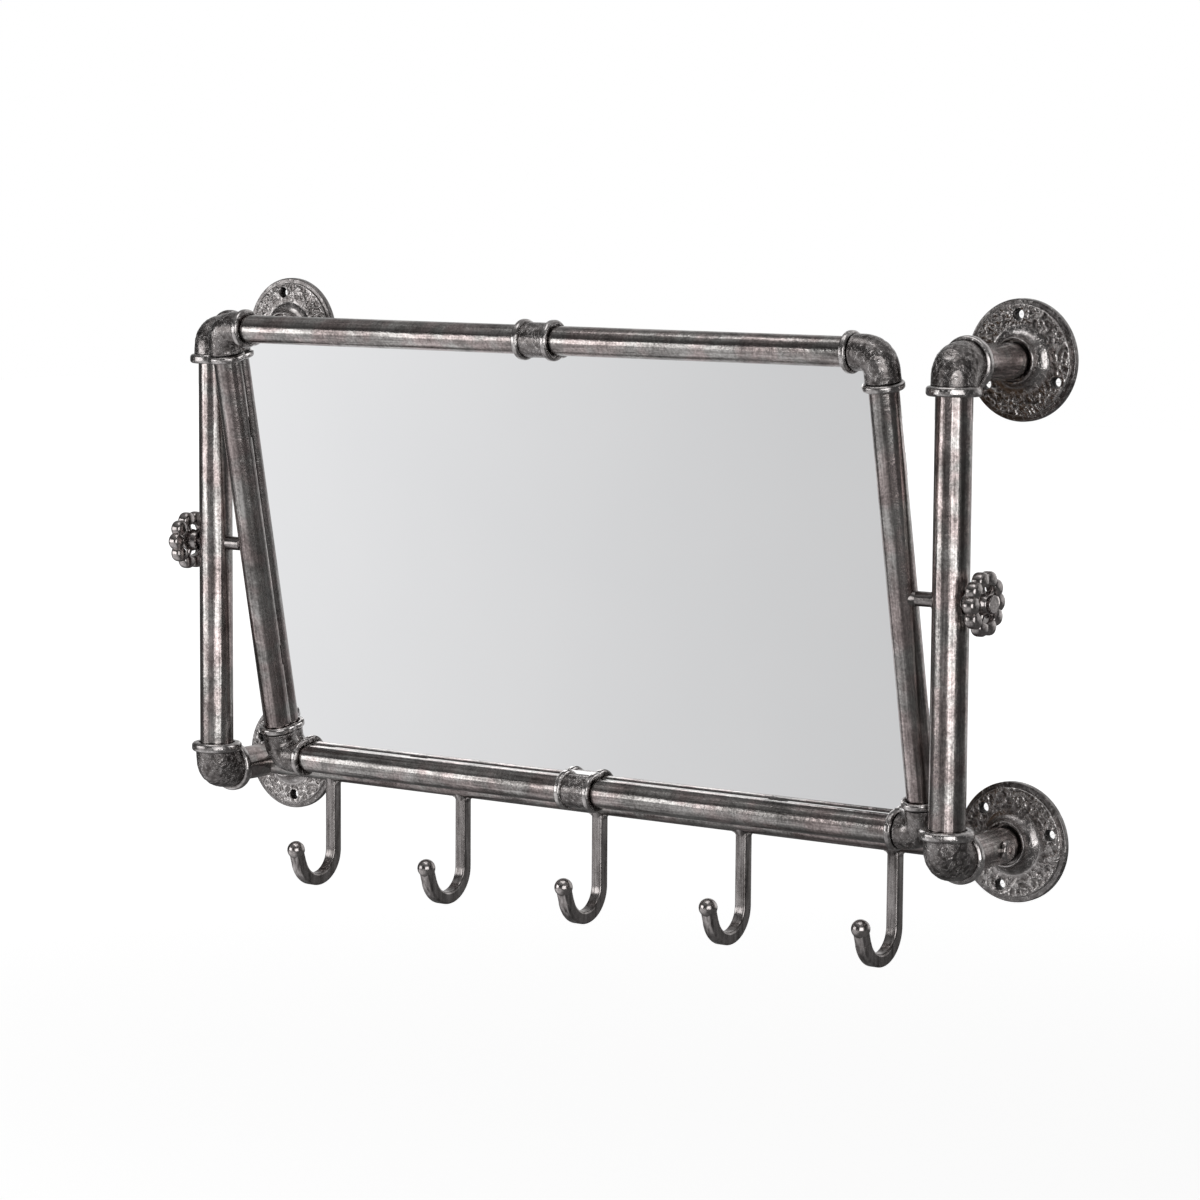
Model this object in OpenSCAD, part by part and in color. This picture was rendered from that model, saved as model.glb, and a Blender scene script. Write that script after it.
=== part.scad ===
// Wall mirror in a pipe frame with a rail of hooks, in millimetres.
// The origin is on the wall, in the middle of the four flanges. X runs to the
// right, Y runs into the wall and Z runs up, so the front of the part is at -Y.

/* [Frame] */
// Distance between the axes of the two uprights
upright_spacing = 664; // [600:2:760]
// Distance between the upper and the lower stand-off axes
frame_height = 340; // [300:2:400]
// Distance from the wall to the upright axes
wall_reach = 95; // [92:1:120]
// Outside diameter of the frame pipe
pipe_d = 26; // [22:0.5:30]
// Wall of the frame pipe
pipe_wall = 2; // [1.5:0.25:3]

/* [Frame elbows] */
// Wall of a frame elbow outside its pipe
frame_elbow_wall = 3.3; // [2.5:0.1:4]
// How far the bead of a frame elbow stands above its body
frame_bead_rise = 3.2; // [2:0.1:4]
// Width of the bead of a frame elbow
frame_bead_w = 6.4; // [4:0.1:8]
// Straight mouth of a frame elbow past its bend
frame_mouth = 4.4; // [3:0.1:8]
// Space between a pipe end and the pipe that crosses it in an elbow
pipe_end_gap = 0.7; // [0.5:0.1:1.5]

/* [Wall flanges] */
// Diameter of a wall flange
flange_d = 86; // [80:1:100]
// Thickness of the rough face of a flange
flange_t = 6; // [5:0.5:9]
// Thickness of the band round the edge of a flange
flange_band_t = 4.2; // [3:0.2:4.8]
// Width of the band round the edge of a flange
flange_band_w = 3.7; // [3:0.1:5]
// Rounding of the front edges of a flange
flange_round = 0.9; // [0.5:0.1:1.5]
// Outside radius of the hub at its lip
hub_lip_r = 16.5; // [15.5:0.25:19]
// Radius of the open recess inside the lip
hub_recess_r = 14.5; // [14:0.25:15.25]
// Depth of the recess inside the lip
hub_recess_depth = 6; // [3:0.5:8]
// Height of the lip above the wall
hub_height = 16.5; // [14:0.5:18]
// Radius of the flare between the hub and the face
hub_flare = 9.5; // [5:0.5:10]
// Diameter of the circle of wall screw holes
screw_circle_d = 64; // [62:1:68]
// Diameter of a wall screw hole
screw_hole_d = 6; // [5:0.5:7]
// Turn of the holes of the upper left flange
holes_turn_upper_left = 101; // [0:1:120]
// Turn of the holes of the upper right flange
holes_turn_upper_right = 93; // [0:1:120]
// Turn of the holes of the lower left flange
holes_turn_lower_left = 37; // [0:1:120]
// Turn of the holes of the lower right flange
holes_turn_lower_right = 15; // [0:1:120]

/* [Mirror frame] */
// Height of the pivots above the middle of the frame
pivot_rise = 9; // [0:1:20]
// Tilt of the mirror as drawn, with its top towards the viewer
rest_tilt = 11.5; // [8:0.5:16]
// Outside diameter of the mirror frame pipe and the hook rail
slim_pipe_d = 21.3; // [19:0.1:23]
// Wall of the mirror frame pipe and the hook rail
slim_pipe_wall = 2; // [1.5:0.25:3]
// Wall of a mirror elbow outside its pipe
mirror_elbow_wall = 2.05; // [1.5:0.05:3]
// How far the beads stand above the body of a mirror elbow or coupling
mirror_bead_rise = 2.2; // [1.5:0.1:3]
// Width of a bead on a mirror elbow or coupling
mirror_bead_w = 5.2; // [4:0.1:6]
// Radius left inside the bend of a mirror elbow
mirror_throat = 7.4; // [6:0.1:10]
// Straight mouth of a mirror elbow past its bend
mirror_mouth = 5.4; // [4:0.1:8]
// How deep a pipe goes into a mirror elbow
mirror_socket = 9; // [6:0.5:10]
// Length of a coupling
coupling_length = 31; // [26:0.5:40]
// Place of the top coupling, to the right of the middle
coupling_top_x = 7; // [-20:1:20]
// Place of the bottom coupling, to the right of the middle
coupling_bottom_x = -3; // [-20:1:20]
// Space between the two pipe ends inside a coupling
coupling_gap = 1; // [0.5:0.5:3]

/* [Mirror glass] */
// Distance of the glass behind the middle of the mirror frame
glass_front = 4.5; // [3:0.25:6]
// Thickness of the glass
glass_t = 4; // [3:0.5:5]
// Thickness of the backing board
board_t = 2.5; // [2:0.25:4]
// Space between the edge of the glass and the pipes
glass_gap = 0.3; // [0.2:0.1:1]
// Width of a retaining clip
clip_w = 16; // [12:1:20]
// Length of a retaining clip
clip_length = 29; // [26:1:34]
// Thickness of a retaining clip
clip_t = 1.5; // [1:0.25:2]
// Distance from the screw of a clip to its outer end
clip_margin = 5; // [4:0.5:7]
// Distance of the clips on the side pipes from the pivots
clip_side_z = 92; // [60:1:120]
// Distance of the clips on the rails from the middle
clip_rail_x = 165; // [60:1:240]
// Shank diameter of a clip screw
clip_screw_d = 3.2; // [2.5:0.1:4]
// Head diameter of a clip screw
clip_head_d = 6.8; // [5:0.1:8]
// Head height of a clip screw
clip_head_h = 2.2; // [1.5:0.1:3]

/* [Pivots] */
// Diameter of a pivot rod
rod_d = 10.6; // [8:0.2:12]
// Length of the weld flare where a rod meets the mirror frame
rod_flare_length = 4; // [3:0.5:6]
// How far the weld flare spreads round a rod
rod_flare_rise = 2; // [1:0.25:3]
// How far a rod reaches into the bore of the mirror side pipe
rod_tail = 1; // [0.5:0.5:3]
// Diameter of the spindle that carries a handwheel
spindle_d = 8; // [6:0.5:9]
// Wall of the bush in an upright
bush_wall = 1.4; // [1:0.1:2]
// How far a bush stands out of its upright
bush_proud = 0.6; // [0.4:0.1:1]
// Thickness of the washer under a handwheel
washer_t = 1.5; // [1:0.25:2.5]
// Diameter of the washer under a handwheel
washer_d = 17; // [15:0.5:20]

/* [Handwheels] */
// Outside diameter of a handwheel
wheel_d = 46; // [40:1:52]
// Number of lobes round the rim
lobe_count = 10; // [8:1:12]
// Diameter of one lobe
lobe_d = 10.4; // [8.5:0.1:11]
// Width of the rim along the pivot
rim_w = 10.5; // [7:0.5:11.5]
// Rounding of the lobe edges
lobe_round = 2.25; // [1.5:0.25:3.4]
// Width of the band that joins the lobes
rim_band_w = 7; // [5:0.5:7]
// Inside diameter of the rim band
rim_inside_d = 27; // [25:0.5:28]
// Outside diameter of the rim band
rim_outside_d = 37.5; // [36:0.5:41]
// Number of spokes
spoke_count = 5; // [4:1:6]
// Diameter of a spoke
spoke_d = 4.4; // [3.5:0.1:5.5]
// Turn of the first spoke
spoke_turn = 54; // [0:1:120]
// Largest diameter of the hub
wheel_hub_d = 17.4; // [16:0.2:20]
// Diameter of the inner end of the hub
wheel_hub_inner_d = 13; // [12:0.2:15]
// Diameter of the outer face of the hub
wheel_hub_face_d = 13.6; // [12.4:0.2:15]
// Length of the hub
wheel_hub_length = 15.8; // [14:0.2:18]
// Distance from the inner end of the hub to the middle of the rim
rim_offset = 10.3; // [9:0.1:11.5]
// Half width of the widest part of the hub
hub_belt = 1.6; // [1:0.1:2.4]
// Thickness of the end cap on the spindle
cap_t = 2.4; // [2:0.1:3]
// Diameter of the end cap
cap_d = 12.8; // [11:0.1:13.5]
// Rounding of the end cap
cap_round = 0.6; // [0.3:0.1:0.9]
// Skin of the end cap over the end of the spindle
cap_skin = 0.9; // [0.6:0.1:1.2]

/* [Hook rail] */
// Distance from the wall to the axis of the hook rail
rail_offset = 35; // [34:0.5:42]
// Least space between the mirror beads and the hook rail as drawn
rail_clearance = 2; // [2:0.1:8]
// Length of the threaded plug in each end of the hook rail
plug_length = 16; // [12:1:24]
// Shank diameter of the screws that hold the hook rail
rail_screw_d = 5; // [4:0.25:6]
// How deep a rail screw goes into its plug
rail_screw_bite = 12; // [8:1:12]
// Head diameter of a rail screw
rail_head_d = 15; // [9:0.5:17]
// Head height of a rail screw
rail_head_h = 3.2; // [2.4:0.2:4.4]
// Width of the hexagon socket in the head of a rail screw
rail_socket_w = 5; // [4:0.5:6]
// Depth of that socket
rail_socket_depth = 2; // [1:0.25:2.25]

/* [Hooks] */
// Distance from one hook to the next
hook_pitch = 129.5; // [110:0.5:140]
// Place of the middle hook, to the right of the middle
hook_shift = -4; // [-8:1:8]
// Width of the square hook bar
hook_w = 9.3; // [7:0.1:11]
// Rounding of the edges of the hook bar
hook_round = 1.6; // [1:0.1:2.4]
// Distance from the rail axis down to the underside of a hook
hook_drop = 90.5; // [80:0.5:110]
// Radius of the bend of a hook
hook_bend_r = 21.5; // [16:0.5:24]
// Angle that the bend of a hook turns through
hook_bend_angle = 162; // [140:1:170]
// Straight tip of a hook from the bend to the ball centre
hook_tip = 12; // [11:0.5:16]
// Diameter of the ball on a hook
ball_d = 13.8; // [12.5:0.1:17]
// How deep the hook bar goes into its ball
ball_socket = 4; // [3:0.25:6]
// How far the straight tip of a hook is dressed down on each side
tip_step = 0.1; // [0.05:0.05:0.4]
// Radius of the weld flare at the top of a hook
hook_flare_r = 7.6; // [6.5:0.1:9]
// Height of the weld flare at the top of a hook
hook_flare_h = 6; // [4:0.5:9]
// Radius of the weld fillets that spread a hook along the rail
hook_fillet = 3.4; // [2:0.2:5]

/* [Fits] */
// Clearance all round a pipe in its socket
socket_gap = 0.15; // [0.1:0.05:0.25]
// Radial clearance round what turns
running_gap = 0.06; // [0.04:0.01:0.1]
// Gap left between two surfaces that are fixed together
seat_gap = 0.1; // [0.08:0.02:0.2]
// Gap between faces that move past each other
face_gap = 0.3; // [0.2:0.05:0.5]
// Space between the beads of the mirror frame and those of the frame
side_clearance = 3.6; // [3:0.2:8]
// Space between a stand-off pipe end and the wall
wall_gap = 2; // [1:0.5:3]
// Width and depth of the dark recess at the mouth of a fitting
mouth_recess = 1.3; // [0.8:0.1:1.5]
// Rounding of the edges of every bead, as a share of its width
bead_round_share = 0.34; // [0.2:0.02:0.44]

/* [Hidden] */
$fn = 64;
// How far every cut runs past the solid that it cuts
overrun = 1;
// The two sides, and the upper and lower levels, as signs
left = -1;
right = 1;
lower = -1;
upper = 1;

pipe_r = pipe_d / 2;
slim_r = slim_pipe_d / 2;
flange_r = flange_d / 2;
frame_body_r = pipe_r + frame_elbow_wall;
frame_bead_r = frame_body_r + frame_bead_rise;
// The throat of a frame elbow closes almost to a point
frame_throat = frame_elbow_wall / 6;
frame_bend_r = frame_body_r + frame_throat;
pipe_stop = pipe_r + pipe_end_gap;
mirror_body_r = slim_r + mirror_elbow_wall;
mirror_bead_r = mirror_body_r + mirror_bead_rise;
mirror_bend_r = mirror_body_r + mirror_throat;
mirror_face = mirror_bend_r + mirror_mouth;
slim_stop = mirror_face - mirror_socket;

upright_x = upright_spacing / 2;
standoff_z = frame_height / 2;
mirror_x = upright_x - frame_bead_r - mirror_bead_r - side_clearance;
rail_y = -rail_offset;
rail_z = -standoff_z;
// The hook rail as the leaning mirror frame has it: how far down it, and how far behind it
rail_ahead = wall_reach - rail_offset;
rail_down = (standoff_z + pivot_rise) * cos(rest_tilt) + rail_ahead * sin(rest_tilt);
rail_behind = rail_ahead * cos(rest_tilt) - (standoff_z + pivot_rise) * sin(rest_tilt);
rail_reach = slim_r + mirror_bead_r + rail_clearance;
// Half the height of the mirror frame, from the pivot to a rail axis
mirror_z = rail_down - sqrt(max(0, pow(rail_reach, 2) - pow(rail_behind, 2)));

glass_back = glass_front + glass_t;
board_back = glass_back + board_t;
// How near the glass may come to the axis of a pipe or of a bead behind it
glass_edge = sqrt(pow(slim_r + glass_gap, 2) - pow(glass_front, 2));
fitting_edge = sqrt(pow(mirror_bead_r + glass_gap, 2) - pow(glass_front, 2));

rod_r = rod_d / 2;
spindle_r = spindle_d / 2;
bush_r = rod_r + running_gap + bush_wall;
bush_end = upright_x + pipe_r + bush_proud;
washer_x = bush_end + face_gap;
hub_x = washer_x + washer_t + face_gap;
cap_x = hub_x + wheel_hub_length + face_gap;
lobe_r = lobe_d / 2;
lobe_ring_r = wheel_d / 2 - lobe_r;

hook_bend_z = rail_z - hook_drop + hook_w / 2 + hook_bend_r;
// How far the straight tip of a hook laps into its bend
tip_lap = 0.5;
hook_rail_bottom = rail_z - sqrt(pow(slim_r, 2) - pow(hook_flare_r, 2));
middle_hook = 3;
plug_r = slim_r - slim_pipe_wall - seat_gap;
plug_end = upright_x - pipe_r - face_gap;

// Colours as the finish shows them
dark_iron = "#4b4543";
pipe_iron = "#5a5250";
bright_iron = "#7d7674";
cast_iron_tone = "#3f3b39";
glass_tone = "#d9dadd";
board_tone = "#6b5c4c";

// A tube from z = from to z = to
module tube(d, wall, from, to) {
    difference() {
        translate([0, 0, from]) cylinder(d = d, h = to - from);
        translate([0, 0, from - overrun]) cylinder(d = d - 2 * wall, h = to - from + 2 * overrun);
    }
}

// Turns what is built along Z so that it runs along +X
module along_x() {
    rotate([0, 90, 0]) children();
}

// Turns what is built along Z so that it runs along -Y, out of the wall
module out_of_wall() {
    rotate([90, 0, 0]) children();
}

// A ring with a flat rim between rounded edges, from z = 0 to z = w
module bead(r, w) {
    edge = w * bead_round_share;
    rotate_extrude() union() {
        square([r - edge, w]);
        translate([0, edge]) square([r, w - 2 * edge]);
        for (y = [edge, w - edge]) translate([r - edge, y]) circle(r = edge);
    }
}

// A pipe elbow with its corner at the origin and its mouths along +X and +Y
module elbow(body_r, bead_r, bead_w, bend_r, mouth, pipe_r, wall, stop) {
    face = bend_r + mouth;
    difference() {
        union() {
            elbow_bend(bend_r, body_r);
            for (turn = [0, 1]) elbow_leg(turn) {
                translate([0, 0, bend_r]) cylinder(r = body_r, h = mouth);
                translate([0, 0, face - bead_w]) bead(bead_r, bead_w);
            }
        }
        elbow_bend(bend_r, pipe_r - wall);
        for (turn = [0, 1]) elbow_leg(turn) {
            translate([0, 0, bend_r]) cylinder(r = pipe_r - wall, h = mouth + overrun);
            translate([0, 0, stop]) cylinder(r = pipe_r + socket_gap, h = face - stop + overrun);
            translate([0, 0, face - mouth_recess])
                cylinder(r = pipe_r + mouth_recess, h = mouth_recess + overrun);
        }
    }
}

// The quarter turn of an elbow, as a solid of radius r
module elbow_bend(bend_r, r) {
    translate([bend_r, bend_r, 0]) rotate([0, 0, 180])
        rotate_extrude(angle = 90) translate([bend_r, 0]) circle(r = r);
}

// Turns what is built along Z onto the +X mouth of an elbow, or onto its +Y mouth
module elbow_leg(turn) {
    rotate(turn == 0 ? [0, 90, 0] : [-90, 0, 0]) children();
}

// Places what is built for the mirror frame, upright and centred on the pivots
module on_mirror() {
    translate([0, -wall_reach, pivot_rise]) rotate([rest_tilt, 0, 0]) children();
}

// Repeats the mirror image of a lower left corner at another corner
module at_corner(side, level) {
    mirror([max(side, 0), 0, 0]) mirror([0, 0, max(level, 0)]) children();
}

// Wall flange: a round plate with an open bell hub and three screw holes
module flange(side, level, turn) {
    color(cast_iron_tone) translate([side * upright_x, 0, level * standoff_z]) out_of_wall()
        difference() {
            rotate_extrude() flange_profile();
            for (i = [0 : 2]) rotate([0, 0, turn + i * 120])
                translate([screw_circle_d / 2, 0, -overrun])
                    cylinder(d = screw_hole_d, h = flange_t + 2 * overrun);
        }
}

// Half section of a flange, with its back on y = 0
module flange_profile() {
    face_r = flange_r - flange_band_w;
    bore_r = pipe_r + socket_gap;
    lip_round = (hub_lip_r - hub_recess_r) / 2;
    flare = min(hub_flare, hub_height - lip_round - flange_t);
    difference() {
        union() {
            rounded_step(flange_r, flange_band_t, flange_round);
            rounded_step(face_r, flange_t, flange_round);
            difference() {
                square([hub_lip_r + flare, flange_t + flare]);
                translate([hub_lip_r + flare, flange_t + flare]) circle(r = flare);
            }
            square([hub_lip_r, hub_height - lip_round]);
            translate([hub_lip_r - lip_round, hub_height - lip_round]) circle(r = lip_round);
        }
        translate([0, -overrun]) square([bore_r, hub_height + 2 * overrun]);
        translate([0, hub_height - hub_recess_depth])
            square([hub_recess_r, hub_recess_depth + overrun]);
    }
}

// A step of radius r and height h whose outer top corner is rounded
module rounded_step(r, h, round_r) {
    square([r - round_r, h]);
    square([r, h - round_r]);
    translate([r - round_r, h - round_r]) circle(r = round_r);
}

// Stand-off pipe from a flange to a frame elbow
module standoff(side, level) {
    color(pipe_iron) translate([side * upright_x, 0, level * standoff_z]) difference() {
        out_of_wall() tube(pipe_d, pipe_wall, wall_gap, wall_reach - pipe_stop);
        if (level == lower) translate([-pipe_r - overrun, rail_y, 0]) along_x()
            cylinder(d = rail_screw_d + 2 * seat_gap, h = pipe_d + 2 * overrun);
    }
}

// Frame elbow between a stand-off and an upright
module frame_elbow(side, level) {
    color(dark_iron) translate([side * upright_x, -wall_reach, level * standoff_z])
        rotate([0, -level * 90, 0]) rotate([0, 0, 90])
            elbow(frame_body_r, frame_bead_r, frame_bead_w, frame_bend_r, frame_mouth,
                pipe_r, pipe_wall, pipe_stop);
}

// Upright pipe, bored across for the bush of the pivot
module upright(side) {
    reach = standoff_z - pipe_stop;
    color(pipe_iron) translate([side * upright_x, -wall_reach, 0]) difference() {
        tube(pipe_d, pipe_wall, -reach, reach);
        translate([-pipe_r - overrun, 0, pivot_rise]) along_x()
            cylinder(r = bush_r + seat_gap, h = pipe_d + 2 * overrun);
    }
}

// Bush through an upright, in which the pivot rod turns
module pivot_bush(side) {
    length = pipe_d + 2 * bush_proud;
    color(bright_iron) translate([side * upright_x, -wall_reach, pivot_rise]) difference() {
        intersection() {
            translate([-length / 2, 0, 0]) along_x() cylinder(r = bush_r, h = length);
            translate([0, 0, -bush_r]) cylinder(r = pipe_r + bush_proud, h = 2 * bush_r);
        }
        translate([-length / 2 - overrun, 0, 0]) along_x()
            cylinder(r = rod_r + running_gap, h = length + 2 * overrun);
    }
}

// Hook rail between the lower stand-offs, its ends cut to their round
module hook_rail() {
    color(pipe_iron) difference() {
        translate([0, rail_y, rail_z]) along_x()
            tube(slim_pipe_d, slim_pipe_wall, -upright_x, upright_x);
        for (side = [left, right]) translate([side * upright_x, 0, rail_z]) out_of_wall()
            cylinder(r = pipe_r + seat_gap, h = wall_reach);
    }
}

// Threaded plugs in the ends of the hook rail
module rail_plugs() {
    color(bright_iron) for (side = [left, right]) translate([0, rail_y, rail_z])
        mirror([max(-side, 0), 0, 0]) translate([plug_end - plug_length, 0, 0]) along_x()
            difference() {
                cylinder(r = plug_r, h = plug_length);
                translate([0, 0, -overrun])
                    cylinder(d = rail_screw_d + 2 * seat_gap, h = plug_length + 2 * overrun);
            }
}

// Screws through the lower stand-offs into the plugs
module rail_screws() {
    head_x = upright_x + pipe_r + face_gap;
    shank_start = plug_end - rail_screw_bite;
    color(bright_iron) for (side = [left, right]) translate([0, rail_y, rail_z])
        mirror([max(-side, 0), 0, 0]) along_x() {
            translate([0, 0, shank_start]) cylinder(d = rail_screw_d, h = head_x - shank_start);
            translate([0, 0, head_x]) difference() {
                rotate_extrude() rounded_step(rail_head_d / 2, rail_head_h, rail_head_h / 2);
                translate([0, 0, rail_head_h - rail_socket_depth])
                    linear_extrude(rail_socket_depth + overrun)
                        circle(d = rail_socket_w / cos(30), $fn = 6);
            }
        }
}

// Section of the hook bar: a square with rounded corners
module hook_section(grow) {
    side = hook_w + 2 * grow;
    inner = side - 2 * hook_round;
    square([side, inner], center = true);
    square([inner, side], center = true);
    for (x = [-inner / 2, inner / 2]) for (y = [-inner / 2, inner / 2])
        translate([x, y]) circle(r = hook_round);
}

// Places what is built along Z at the end of the bend of a hook, along its tip
module at_hook_tip(n) {
    translate([(n - middle_hook) * hook_pitch + hook_shift, rail_y - hook_bend_r, hook_bend_z])
        rotate([180 - hook_bend_angle, 0, 0]) translate([0, -hook_bend_r, 0])
            children();
}

// Hook: a square bar welded under the rail, bent forward and up
module hook(n) {
    x = (n - middle_hook) * hook_pitch + hook_shift;
    color(dark_iron) difference() {
        union() {
            translate([x, rail_y, hook_bend_z]) linear_extrude(rail_z - hook_bend_z) hook_section(0);
            translate([x, rail_y - hook_bend_r, hook_bend_z]) rotate([0, 90, 0]) rotate([0, 0, 90])
                mirror([0, 1, 0]) rotate_extrude(angle = hook_bend_angle)
                    translate([hook_bend_r, 0]) hook_section(0);
            at_hook_tip(n) translate([0, 0, -tip_lap])
                linear_extrude(hook_tip - ball_d / 2 + ball_socket + tip_lap)
                    hook_section(-tip_step);
            translate([x, rail_y, hook_rail_bottom - hook_flare_h])
                cylinder(r1 = hook_w / 2, r2 = hook_flare_r, h = hook_flare_h);
            translate([x, rail_y, rail_z - slim_r]) out_of_wall()
                linear_extrude(hook_w - 2 * hook_round, center = true) hook_fillets();
        }
        translate([x - hook_pitch / 2, rail_y, rail_z]) along_x()
            cylinder(r = slim_r + seat_gap, h = hook_pitch);
    }
}

// Section of the two fillets beside a hook; y = 0 is the underside of the rail
module hook_fillets() {
    spread = hook_w / 2 + hook_fillet;
    difference() {
        translate([-spread, -hook_fillet]) square([2 * spread, hook_fillet + hook_round]);
        for (x = [-spread, spread]) translate([x, -hook_fillet]) circle(r = hook_fillet);
    }
}

// Polished balls on the tips of the hooks
module hook_balls() {
    color(bright_iron) for (n = [1 : 5]) at_hook_tip(n) difference() {
        translate([0, 0, hook_tip]) sphere(d = ball_d);
        translate([0, 0, hook_tip - ball_d / 2 - overrun])
            linear_extrude(ball_socket + overrun + seat_gap) hook_section(seat_gap - tip_step);
    }
}

// Elbow at a corner of the mirror frame
module mirror_elbow(side, level) {
    color(dark_iron) on_mirror() at_corner(side, level)
        translate([-mirror_x, 0, -mirror_z]) rotate([90, 0, 0])
            elbow(mirror_body_r, mirror_bead_r, mirror_bead_w, mirror_bend_r, mirror_mouth,
                slim_r, slim_pipe_wall, slim_stop);
}

// Hole for a clip screw through the back wall of a mirror frame pipe
module clip_screw_hole() {
    rotate([-90, 0, 0]) cylinder(d = clip_screw_d + 2 * seat_gap, h = slim_pipe_d);
}

// Side pipe of the mirror frame, with holes for the pivot rod and the clips
module side_pipe(side) {
    reach = mirror_z - slim_stop;
    color(pipe_iron) on_mirror() translate([side * mirror_x, 0, 0]) difference() {
        tube(slim_pipe_d, slim_pipe_wall, -reach, reach);
        mirror([max(-side, 0), 0, 0]) along_x() cylinder(r = rod_r + seat_gap, h = slim_pipe_d);
        for (z = [-clip_side_z, clip_side_z]) translate([0, 0, z]) clip_screw_hole();
    }
}

// Half of the top or bottom rail, from an elbow to the coupling
module mirror_rail(side, level, coupling_x) {
    outer = mirror_x - slim_stop;
    inner = coupling_gap / 2;
    from = side == left ? -outer : coupling_x + inner;
    to = side == left ? coupling_x - inner : outer;
    color(pipe_iron) on_mirror() translate([0, 0, level * mirror_z]) difference() {
        along_x() tube(slim_pipe_d, slim_pipe_wall, from, to);
        translate([side * clip_rail_x, 0, 0]) clip_screw_hole();
    }
}

// Coupling that joins the two halves of a rail
module coupling(level, coupling_x) {
    color(dark_iron) on_mirror() translate([coupling_x - coupling_length / 2, 0, level * mirror_z])
        along_x() difference() {
            union() {
                cylinder(r = mirror_body_r, h = coupling_length);
                bead(mirror_bead_r, mirror_bead_w);
                translate([0, 0, coupling_length - mirror_bead_w]) bead(mirror_bead_r, mirror_bead_w);
            }
            translate([0, 0, -overrun])
                cylinder(r = slim_r + socket_gap, h = coupling_length + 2 * overrun);
            for (from = [-overrun, coupling_length - mouth_recess]) translate([0, 0, from])
                cylinder(r = slim_r + mouth_recess, h = mouth_recess + overrun);
        }
}

// Sheet that fits between the pipes, notched round the elbows and couplings
module sheet(from, t) {
    half_w = mirror_x - glass_edge;
    half_h = mirror_z - glass_edge;
    notch = mirror_face + glass_gap;
    coupling_notch = coupling_length + 2 * glass_gap;
    on_mirror() translate([0, from + t, 0]) rotate([90, 0, 0]) linear_extrude(t) difference() {
        square([2 * half_w, 2 * half_h], center = true);
        for (x = [left, right]) for (z = [lower, upper]) translate([x * mirror_x, z * mirror_z]) {
            square([2 * notch, 2 * fitting_edge], center = true);
            square([2 * fitting_edge, 2 * notch], center = true);
        }
        translate([coupling_top_x, mirror_z])
            square([coupling_notch, 2 * fitting_edge], center = true);
        translate([coupling_bottom_x, -mirror_z])
            square([coupling_notch, 2 * fitting_edge], center = true);
    }
}

// Mirror glass, just behind the middle of the pipes
module mirror_glass() {
    color(glass_tone) sheet(glass_front, glass_t);
}

// Board that backs the glass
module backing_board() {
    color(board_tone) sheet(glass_back, board_t);
}

// Places what points at the middle of the glass at each clip, with Z to the back
module at_clips() {
    for (side = [left, right]) for (z = [-clip_side_z, clip_side_z])
        translate([side * mirror_x, 0, z]) rotate([0, side == left ? 0 : 180, 0])
            rotate([-90, 0, 0]) children();
    for (level = [lower, upper]) for (x = [-clip_rail_x, clip_rail_x])
        translate([x, 0, level * mirror_z]) rotate([0, level * 90, 0])
            rotate([-90, 0, 0]) children();
}

// Flat clips that hold the board and the glass to the pipes
module retaining_clips() {
    color(bright_iron) on_mirror() at_clips() translate([0, 0, board_back]) difference() {
        translate([-clip_margin, -clip_w / 2, 0]) cube([clip_length, clip_w, clip_t]);
        translate([0, 0, -overrun])
            cylinder(d = clip_screw_d + 2 * seat_gap, h = clip_t + 2 * overrun);
    }
}

// Screws that hold the clips to the pipes
module clip_screws() {
    shank = clip_t + board_back - slim_r + 2 * slim_pipe_wall;
    color(bright_iron) on_mirror() at_clips() translate([0, 0, board_back + clip_t]) {
        translate([0, 0, -shank]) cylinder(d = clip_screw_d, h = shank);
        rotate_extrude() rounded_step(clip_head_d / 2, clip_head_h, clip_head_h / 2);
    }
}

// Places what is built along +X on the pivot axis, for the right or left side
module on_pivot(side) {
    translate([0, -wall_reach, pivot_rise]) mirror([max(-side, 0), 0, 0]) children();
}

// Pivot rod: welded to the side pipe, through the upright, to the handwheel spindle
module pivot_rod(side) {
    start = mirror_x + slim_r - slim_pipe_wall - rod_tail;
    flare_r = rod_r + rod_flare_rise;
    flare_start = mirror_x + sqrt(pow(slim_r, 2) - pow(flare_r, 2));
    spindle_end = cap_x + cap_t - cap_skin - seat_gap;
    color(bright_iron) on_pivot(side) {
        along_x() translate([0, 0, start]) cylinder(r = rod_r, h = bush_end - start);
        along_x() translate([0, 0, bush_end]) cylinder(r = spindle_r, h = spindle_end - bush_end);
        difference() {
            along_x() translate([0, 0, flare_start])
                cylinder(r1 = flare_r, r2 = rod_r, h = rod_flare_length);
            translate([mirror_x, 0, 0]) rotate([rest_tilt, 0, 0]) translate([0, 0, -slim_pipe_d])
                cylinder(r = slim_r + seat_gap, h = 2 * slim_pipe_d);
        }
    }
}

// Washer between an upright and its handwheel
module washer(side) {
    color(bright_iron) on_pivot(side) along_x() translate([0, 0, washer_x]) difference() {
        cylinder(d = washer_d, h = washer_t);
        translate([0, 0, -overrun]) cylinder(r = spindle_r + seat_gap, h = washer_t + 2 * overrun);
    }
}

// End cap that keeps a handwheel on its spindle
module end_cap(side) {
    color(bright_iron) on_pivot(side) along_x() translate([0, 0, cap_x]) difference() {
        rotate_extrude() rounded_step(cap_d / 2, cap_t, cap_round);
        translate([0, 0, -overrun]) cylinder(r = spindle_r + seat_gap, h = cap_t - cap_skin + overrun);
    }
}

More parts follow.
